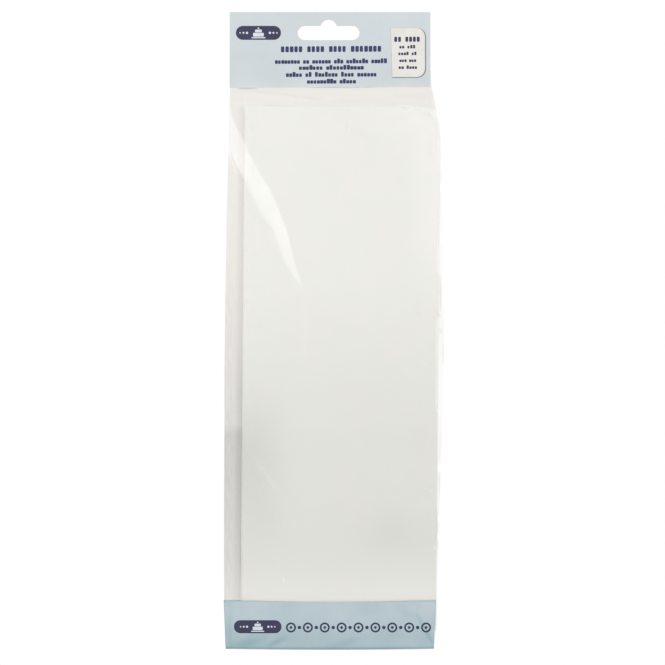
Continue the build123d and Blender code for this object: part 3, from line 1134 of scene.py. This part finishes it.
def addCake(mesh, middle, height):
    # A plain tiered cake on its stand
    tiers = [(0.00, 0.10, 1.30), (0.16, 0.50, 0.98), (0.54, 0.80, 0.62)]
    for low, high, width in tiers:
        addBlock(
            mesh, middle.x - width * height / 2, middle.x + width * height / 2,
            middle.z + (low - 0.5) * height, middle.z + (high - 0.5) * height, height * 0.05,
        )
    addDisc(mesh, middle + Vector((0, 0, 0.42 * height)), height * 0.075)


def addMotif(mesh, low, high):
    middle = (low + high) / 2
    height = (low.z - high.z) * 0.78
    addCake(mesh, middle, height)
    for side in (-1, 1):
        for step in range(3):
            centre = middle + Vector((side * height * (1.05 + 0.32 * step), 0, 0))
            addDisc(mesh, centre, height * (0.11 - 0.02 * step), 14)


def layInk(name, mesh, surface, lift, material, body, step=1.5 * mm):
    # Presses flat artwork, drawn on the middle plane, onto the front of a piece
    sliceUp(mesh, sideways, step)
    sliceUp(mesh, upright, step)
    for point in mesh.verts:
        hit = surface.ray_cast(Vector((point.co.x, -0.05, point.co.z)), Vector((0, 1, 0)))[0]
        if hit is not None:
            point.co.y = hit.y - lift
    for face in mesh.faces:
        face.normal_update()
        if face.normal.y > 0:
            face.normal_flip()
    return finishPiece(name, mesh, material, body, smooth=False)


def layBadge(names, corners, surface, body, step=1.5 * mm):
    # A dark plaque with a cake in paler ink
    low, high = (fromPixel(corner) for corner in corners)
    plaque = bmesh.new()
    addBlock(plaque, low.x, high.x, high.z, low.z, (low.z - high.z) / 2, 8)
    layInk(names[0], plaque, surface, inkLift["block"], darkInk, body, step)
    motif = bmesh.new()
    addMotif(motif, low, high)
    layInk(names[1], motif, surface, inkLift["motif"], paleInk, body, step)


def makeHeaderPrint():
    rng = random.Random(11)
    surface = treeOf(headerCard)
    rows = [
        {"start": (281, 46.3), "end": (382, 52.2), "words": (5, 4, 4, 7), "weight": 0.77, "capitals": True},
        {"start": (275, 59.0), "end": (387, 63.8), "words": (8, 2, 6, 3, 7, 5), "weight": 0.90},
        {"start": (299, 65.4), "end": (364, 70.0), "words": (7, 11), "weight": 0.89},
        {"start": (286, 72.2), "end": (377, 77.0), "words": (5, 2, 7, 4, 6), "weight": 0.87},
        {"start": (307, 79.2), "end": (356, 83.8), "words": (9, 5), "weight": 0.90},
    ]
    words = bmesh.new()
    addWords(words, rows, rng)
    layInk("headerWords", words, surface, inkLift["word"], navyInk, "header")
    layBadge(("headerBadge", "headerMotif"), ((236, 26), (281, 40)), surface, "header")
    # A line of printed shadow round the label, widest along its right and lower edges
    rim = {"left": 0.10 * mm, "right": 0.62 * mm, "low": 0.66 * mm, "high": 0.06 * mm, "corner": 4.9 * mm}
    outline = bmesh.new()
    addBlock(
        outline, labelLow.x - rim["left"], labelHigh.x + rim["right"], labelLow.z - rim["low"],
        labelHigh.z + rim["high"], rim["corner"], 6,
    )
    # Its left corners are square, like the label's
    half = rim["corner"] * 1.2
    ends = ((labelLow.z - rim["low"], labelLow.z + half), (labelHigh.z - half, labelHigh.z + rim["high"]))
    for low, high in ends:
        addBlock(outline, labelLow.x - rim["left"], labelLow.x + half, low, high, 0.1 * mm)
    for point in outline.verts:
        cutLabel(point.co)
    layInk("labelShadow", outline, surface, inkLift["block"], shadowInk, "header")


def makeFooterPrint():
    surface = treeOf(footerBand)
    layBadge(
        ("footerBadge", "footerMotif"), ((234, 620), (281.5, 633)), surface, "bag", 0.6 * mm
    )
    beads = {"start": (291, 627.3), "end": (426, 627.3), "count": 17, "ring": 2.6 * mm, "dot": 0.9 * mm}
    start, end = fromPixel(beads["start"]), fromPixel(beads["end"])
    border = bmesh.new()
    for step in range(beads["count"]):
        centre = start + (end - start) * step / (beads["count"] - 1)
        if step % 2:
            addDisc(border, centre, beads["dot"])
        else:
            addRing(border, centre, beads["ring"], beads["dot"])
            addDisc(border, centre, beads["dot"] * 0.8)
    layInk("footerBorder", border, surface, inkLift["block"], darkInk, "bag")


def makeLabelPrint():
    rng = random.Random(5)
    rows = [
        {"start": (394.3, 36.9), "end": (420.5, 42.0), "words": (2, 4), "weight": 0.71, "capitals": True},
        {"start": (399.3, 45.3), "end": (415.8, 48.7), "words": (2, 3), "weight": 0.74},
        {"start": (398.3, 52.0), "end": (417.0, 55.4), "words": (4, 2), "weight": 0.81},
        {"start": (399.3, 58.9), "end": (416.5, 62.3), "words": (3, 3), "weight": 0.83},
        {"start": (398.6, 65.8), "end": (417.4, 69.2), "words": (2, 4), "weight": 0.86},
    ]
    words = bmesh.new()
    addWords(words, rows, rng)
    layInk("labelWords", words, treeOf(sizeLabel), inkLift["word"], darkInk, "header")


def dressNodes():
    looks = (
        ("smoother_blade", platePlastic), ("header_glue_front", driedGlue), ("header_glue_back", driedGlue),
    )
    for name, material in looks:
        nodes[name].data.materials.clear()
        nodes[name].data.materials.append(material)


dressNodes()
makeHeaderPrint()
makeFooterPrint()
makeLabelPrint()
print("print laid on")


def makeStage():
    material, tree, shader, place = newMaterial("paleFloor")
    tint = mixColours(tree, placeNoise(tree, place, 3), (0.93, 0.93, 0.93), (0.96, 0.96, 0.96))
    feed(tree, shader.inputs["Base Color"], tint)
    feed(tree, shader.inputs["Roughness"], 0.8)
    mesh = bmesh.new()
    bmesh.ops.create_grid(mesh, x_segments=4, y_segments=4, size=3.5)
    bmesh.ops.translate(mesh, verts=mesh.verts, vec=(0, 0, -0.95))
    data = bpy.data.meshes.new("floor")
    mesh.to_mesh(data)
    mesh.free()
    floor = bpy.data.objects.new("floor", data)
    bpy.context.scene.collection.objects.link(floor)
    data.materials.append(material)


def makeWorld():
    light = {"fill": 0.735, "shown": 1.0}
    world = bpy.data.worlds.new("studio")
    bpy.context.scene.world = world
    world.use_nodes = True
    tree = world.node_tree
    background = tree.nodes["Background"].inputs
    feed(tree, background["Color"], (1, 1, 1))
    path = addNode(tree, "ShaderNodeLightPath").outputs
    seen = calculate(tree, "MAXIMUM", path["Is Camera Ray"], path["Is Glossy Ray"])
    seen = calculate(tree, "MAXIMUM", seen, path["Is Transmission Ray"])
    feed(tree, background["Strength"], spread(tree, seen, 0, 1, light["fill"], light["shown"]))


def addPanel(name, place, aim, width, height, radiance):
    # A soft box, with its power worked out from how bright its face is
    data = bpy.data.lights.new(name, "AREA")
    data.shape = "RECTANGLE"
    data.size, data.size_y = width, height
    data.energy = radiance * math.pi * width * height
    panel = bpy.data.objects.new(name, data)
    bpy.context.scene.collection.objects.link(panel)
    panel.location = place
    panel.rotation_mode = "QUATERNION"
    panel.rotation_quaternion = (Vector(aim) - Vector(place)).to_track_quat("-Z", "Y")
    panel.visible_camera = False


def makeCamera():
    view = {"distance": 2.4, "sensor": 36.0}
    middle = fromPixel((photo["side"] / 2, photo["side"] / 2))
    span = photo["side"] * photo["mmPerPixel"] * mm
    data = bpy.data.cameras.new("camera")
    data.sensor_width = view["sensor"]
    data.lens = view["sensor"] * view["distance"] / span
    camera = bpy.data.objects.new("camera", data)
    bpy.context.scene.collection.objects.link(camera)
    camera.location = (middle.x, -view["distance"], middle.z)
    camera.rotation_euler = (math.pi / 2, 0, 0)
    bpy.context.scene.camera = camera


makeStage()
makeWorld()
addPanel("leftStrip", (-0.40, -1.35, -0.20), (0, 0, -0.16), 0.32, 0.9, 2.2)
addPanel("topPanel", (0.10, -0.8, 0.62), (0, 0, -0.06), 0.9, 0.5, 2.1)
makeCamera()
bpy.context.scene.view_settings.view_transform = "Standard"
bpy.context.scene.cycles.transparent_max_bounces = 32
print("stage, lights and camera set")
